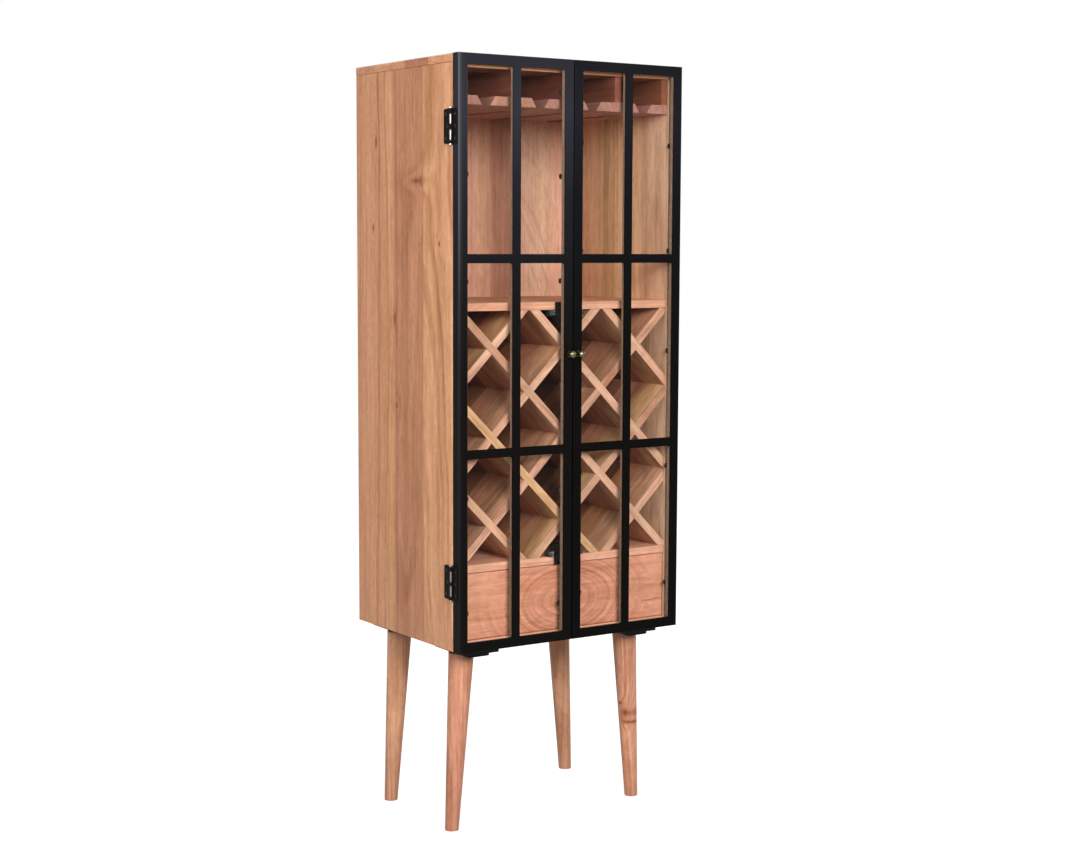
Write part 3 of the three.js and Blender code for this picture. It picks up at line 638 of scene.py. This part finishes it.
dark_screw = coated("dark_screw", (0.02, 0.02, 0.022, 1), 0.35, 0.6, level=0.4)
edge_inset, corner_inset, back_head = 0.009, 0.03, 0.0036
low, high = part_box("back_panel")
across_row = np.linspace(low.x + corner_inset, high.x - corner_inset, 5)
upright_row = np.linspace(low.z + corner_inset, high.z - corner_inset, 9)[1:-1]
back_screws = [(x, high.y, z) for z in (low.z + edge_inset, high.z - edge_inset) for x in across_row]
back_screws += [(x, high.y, z) for x in (low.x + edge_inset, high.x - edge_inset) for z in upright_row]
points, faces = screw_heads(back_screws, (0, 1, 0), back_head)
add_piece("back_screws", points, faces, dark_screw, "case", smooth=False)

# Each leg is turned from one piece of acacia and hangs on a leaning stud, under a black bracket and a
# black wooden pad that are screwed to the case's floor.

leg_spacing = 0.9
leg_planks = [(-0.3, (240, 178, 148)), (0.0, (240, 184, 160)), (0.2, (240, 184, 160))]
leg_knots = [
    (0.186, front_edge + 0.062, 0.005, 0.012),
    (0.209, front_edge + 0.066, 0.011, 0.009),
    (0.232, front_edge + 0.078, 0.004, 0.006),
]
# The legs are painted darker toward the floor, as shade.
leg_wood = acacia("acacia_legs_painted_shade", upright_side, leg_planks, 83.0, sheets=leg_spacing, figure=1.4,
                  line_depth=0.8, smoke=0.5, painted_shade_foot=0.22)
knotty_wood = acacia("acacia_knotty_leg_painted_shade", upright_side, leg_planks, 84.0, knots=leg_knots, figure=1.4,
                     line_depth=0.9, smoke=0.5, painted_shade_foot=0.12)
black_coat = coated("black_powder_coat", (0.005, 0.0045, 0.0042, 1), 0.42, level=0.06)
black_paint = coated("black_paint", (0.007, 0.0065, 0.0065, 1), 0.6, grain=300.0, level=0.1)
side_inset, end_inset, bracket_head, head_level = 0.009, 0.012, 0.0042, 0.4079
bracket_screws = []
for end in ("front", "back"):
    for hand in ("left", "right"):
        dress(f"leg_{end}_{hand}", knotty_wood if (end, hand) == ("front", "right") else leg_wood)
        dress(f"leg_bracket_{end}_{hand}", black_coat)
        dress(f"leg_pad_{end}_{hand}", black_paint)
        low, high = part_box(f"leg_bracket_{end}_{hand}")
        columns = (low.x + side_inset, high.x - side_inset)
        rows = (low.y + end_inset, high.y - end_inset)
        bracket_screws += [(x, y, head_level) for x in columns for y in rows]
points, faces = screw_heads(bracket_screws, (0, 0, -1), bracket_head)
add_piece("bracket_screws", points, faces, dark_screw, "case", smooth=False)

# The doors: angle-iron frames with flat glazing bars, welded, ground flush and powder-coated black.
# One sheet of clear glass stands behind the bars of each door, bedded on putty and held by clips.


def frame_coat_with_painted_light(name, painted_reflection):
    """A frame's black powder coat, with a painted reflection that makes it paler and colder toward the top,
    by the given strength, and a painted highlight along the left frame's outer corner, where its rounded
    edge catches the light, fainter lower down. The highlight is exp(-x / a - y / b), from the corner."""
    corner_x, corner_y, fade_x, fade_y = -0.300, -0.21775, 0.0034, 0.0015
    bare_black, painted_highlight_grey = 0.0015, (0.13, 0.128, 0.145, 1)
    # Heights, the tints of the painted reflection there, and the share of the painted corner highlight
    # there.
    painted_reflection_tints = [
        (0.43, (0.0025, 0.0018, 0.0014), 0.10), (1.05, (0.003, 0.0022, 0.0018), 0.15),
        (1.2, (0.0045, 0.0046, 0.0046), 0.3), (1.42, (0.0095, 0.0098, 0.0145), 0.9),
        (1.62, (0.0235, 0.024, 0.0315), 1.0), (1.73, (0.018, 0.019, 0.026), 1.0),
    ]
    material, tree, output = new_material(name)
    place = add_node(tree, "ShaderNodeTexCoord").outputs["Object"]
    x, y, z = add_node(tree, "ShaderNodeSeparateXYZ", {"Vector": place}).outputs
    stops = [(level, (*[bare_black + part * painted_reflection for part in tint], worn)) for level, tint, worn in painted_reflection_tints]
    tone = colour_ramp(tree, z, stops, "LINEAR")
    # A painted highlight where the rounded outer corner of the left frame catches the light.
    inward = calc(tree, "MULTIPLY", calc(tree, "SUBTRACT", x, corner_x), -1 / fade_x)
    backward = calc(tree, "MULTIPLY", calc(tree, "SUBTRACT", y, corner_y), -1 / fade_y)
    corner = calc(tree, "EXPONENT", calc(tree, "ADD", inward, backward))
    painted_highlight = calc(tree, "MULTIPLY", calc(tree, "MINIMUM", corner, 1.0), tone.outputs["Alpha"])
    shade = blend(tree, painted_highlight, tone.outputs["Color"], painted_highlight_grey)
    rough, normal = sprayed(tree, place, 0.44, 900.0)
    lay_surface(tree, output, shade, rough, Normal=normal, Specular_IOR_Level=0.03)
    return material


def clear_glass():
    """A sheet that shows what is behind it and lets the lamps through."""
    material, tree, output = new_material("clear_glass")
    path = add_node(tree, "ShaderNodeLightPath")
    passing = calc(tree, "MAXIMUM", path.outputs["Is Shadow Ray"], path.outputs["Is Diffuse Ray"])
    sheet = add_node(
        tree,
        "ShaderNodeBsdfPrincipled",
        {"Base Color": (0.985, 0.995, 0.99, 1), "Roughness": 0.0, "IOR": 1.12, "Transmission Weight": 1.0},
    )
    open_air = add_node(tree, "ShaderNodeBsdfTransparent", {"Color": (0.98, 0.985, 0.98, 1)})
    both = add_node(tree, "ShaderNodeMixShader", {0: passing, 1: sheet.outputs[0], 2: open_air.outputs[0]})
    tree.links.new(both.outputs[0], output.inputs["Surface"])
    return material


def putty():
    """Brown glazing putty, slightly lumpy."""
    material, tree, output = new_material("glazing_putty")
    place = add_node(tree, "ShaderNodeTexCoord").outputs["Object"]
    lumps = even_noise(tree, place, 120.0, 3.0)
    browns = [(0.3, screen_colour(104, 80, 66)), (0.7, screen_colour(124, 97, 80))]
    tone = colour_ramp(tree, lumps, browns, "LINEAR").outputs["Color"]
    normal = relief(tree, lumps, 0.2, 0.0006)
    lay_surface(tree, output, tone, 0.6, Normal=normal, Specular_IOR_Level=0.08)
    return material


def bead_runs(runs, depth, proud):
    """Half-round beads on the plane at a depth. Each run is its two ends and its half width across, and a
    section is (half width * cos a, proud * sin a) for a from 0 to 180 degrees, closed by its flat base.
    At an end, for b up to 90 degrees, it shrinks by sin b at half width * (1 - cos b) from the end."""
    around = 12
    angle = np.linspace(0, math.pi, around)
    turn_in = np.linspace(0.12, math.pi / 2, 6)
    swell = np.concatenate([np.sin(turn_in), np.ones(3), np.sin(turn_in)[::-1]])
    points = []
    for start, end, across in runs:
        start, end, across = (np.array(value, float) for value in (start, end, across))
        lead = (1 - np.cos(turn_in)) * np.linalg.norm(across) / np.linalg.norm(end - start)
        share = np.concatenate([lead, [0.25, 0.5, 0.75], 1 - lead[::-1]])
        spine = start + (end - start) * share[:, None] + np.array([0.0, depth, 0.0])
        wide = across * np.cos(angle)[:, None]
        out = np.array([0.0, 1.0, 0.0]) * proud * np.sin(angle)[:, None]
        points.append(spine[:, None] + (wide + out)[None] * swell[:, None, None])
    return np.array(points), tube_faces(len(runs), len(swell), around)


glass = clear_glass()
glazing_putty = putty()
frame_top, muntin_middle, bar_levels = 1.730, 0.15075, (0.8673, 1.2927)
bead_inset, half_upright, half_level, bead_proud, bead_gap = 0.0105, 0.0125, 0.0075, 0.004, 0.0001
clip_inset, clip_depth, half_clip = 0.015, 0.0043, (0.0115, 0.0042, 0.006)
clip_drops = {
    "left": (0.073, 0.256, 0.487, 0.72, 0.96, 1.214),
    "right": (0.180, 0.42, 0.651, 0.92, 1.196),
}
# The right door gets a weaker painted reflection than the left one, which stands slightly ajar.
for hand, sign, painted_reflection in (("left", -1, 1.0), ("right", 1, 0.4)):
    dress(f"door_frame_{hand}", frame_coat_with_painted_light(f"door_black_painted_reflection_{hand}", painted_reflection))
    dress(f"door_glass_{hand}", glass)
    low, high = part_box(f"door_glass_{hand}")
    left_end, right_end = low.x + bead_inset, high.x - bead_inset
    bottom, top = low.z + bead_inset, high.z - bead_inset
    columns, rows = (left_end, sign * muntin_middle, right_end), (bottom, *bar_levels, top)
    uprights = [((x, 0, bottom), (x, 0, top), (half_upright, 0, 0)) for x in columns]
    levels = [((left_end, 0, z), (right_end, 0, z), (0, 0, half_level)) for z in rows]
    points, faces = bead_runs(uprights + levels, high.y + bead_gap, bead_proud)
    add_piece(f"glazing_bead_{hand}", points, faces, glazing_putty, f"door_{hand}")

    columns = (low.x + clip_inset, high.x - clip_inset)
    clips = [(x, high.y + clip_depth, frame_top - drop) for drop in clip_drops[hand] for x in columns]
    points, faces = soft_blocks(clips, half_clip, power=5.0)
    add_piece(f"glass_clips_{hand}", points, faces, black_paint, f"door_{hand}")

# The knobs: small turned brass balls, antiqued to a greenish brown, each screwed to its door's meeting
# stile.

brass = coated("antique_brass", (0.13, 0.12, 0.065, 1), 0.26, 1.0, wear=(0.075, 0.066, 0.034, 1))
for hand in ("left", "right"):
    dress(f"knob_{hand}", brass)

# The hinges: 75 mm butt hinges of steel, screwed to the case's sides and the door frames, with black
# leaves and a barrel that is worn bright.


def hinge_finish():
    """Black leaves and a black barrel, which is worn bright in two stretches on the side that faces out
    and forward, where the knuckles rub."""
    axis_x, axis_y, barrel_radius = 0.3048, front_edge - 0.0015, 0.0049
    first_stretch, stretch_pitch = 0.5835, 0.033
    black, bare_steel = (0.009, 0.0065, 0.005, 1), (0.2, 0.2, 0.205, 1)
    material, tree, output = new_material("hinge_steel")
    place = add_node(tree, "ShaderNodeTexCoord").outputs["Object"]
    x, y, z = add_node(tree, "ShaderNodeSeparateXYZ", {"Vector": place}).outputs
    off_x = calc(tree, "SUBTRACT", calc(tree, "ABSOLUTE", x), axis_x)
    off_y = calc(tree, "SUBTRACT", y, axis_y)
    radius = hypot(tree, off_x, off_y)
    barrel = calc(tree, "LESS_THAN", radius, barrel_radius)
    rise = calc(tree, "SUBTRACT", z, first_stretch)
    turns = calc(tree, "FRACT", calc(tree, "DIVIDE", rise, stretch_pitch))
    joint = calc(tree, "ABSOLUTE", calc(tree, "SUBTRACT", turns, 0.5))
    fray = calc(tree, "MULTIPLY_ADD", even_noise(tree, place, 85.0, 3.0), 3.0, 3.0)
    worn = clamped(tree, joint, -12.0, fray)
    facing = calc(tree, "MULTIPLY_ADD", off_x, 0.57, calc(tree, "MULTIPLY", off_y, -0.82))
    touched = clamped(tree, calc(tree, "DIVIDE", facing, radius), 8.0, -6.9)
    bare = calc(tree, "MULTIPLY", calc(tree, "MULTIPLY", barrel, worn), touched)
    shade = blend(tree, bare, black, bare_steel)
    rough = calc(tree, "MULTIPLY_ADD", bare, -0.3, 0.62)
    lay_surface(tree, output, shade, rough, Metallic=bare, Specular_IOR_Level=0.04)
    return material


hinge_steel = hinge_finish()
leaf_face, hole_pitch, hinge_head = 0.3024, 0.026, 0.0034
case_holes, door_inset = ((-1, 0.009), (0, 0.015), (1, 0.009)), 0.0065
for hand, sign in (("left", -1), ("right", 1)):
    case_rows, door_rows = [], []
    for level in ("upper", "lower"):
        dress(f"hinge_case_leaf_{level}_{hand}", hinge_steel)
        dress(f"hinge_door_leaf_{level}_{hand}", hinge_steel)
        dress(f"hinge_pin_{level}_{hand}", bright_steel)
        low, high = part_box(f"hinge_case_leaf_{level}_{hand}")
        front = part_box(f"hinge_door_leaf_{level}_{hand}")[0].y
        middle = (low.z + high.z) / 2
        for step, case_inset in case_holes:
            height = middle + step * hole_pitch
            case_rows.append((sign * leaf_face, high.y - case_inset, height))
            door_rows.append((sign * leaf_face, front + door_inset, height))
    for side, rows, body in (("case", case_rows, "case"), ("door", door_rows, f"door_{hand}")):
        points, faces = screw_heads(rows, (sign, 0, 0), hinge_head)
        add_piece(f"hinge_screws_{side}_{hand}", points, faces, dark_screw, body, smooth=False)
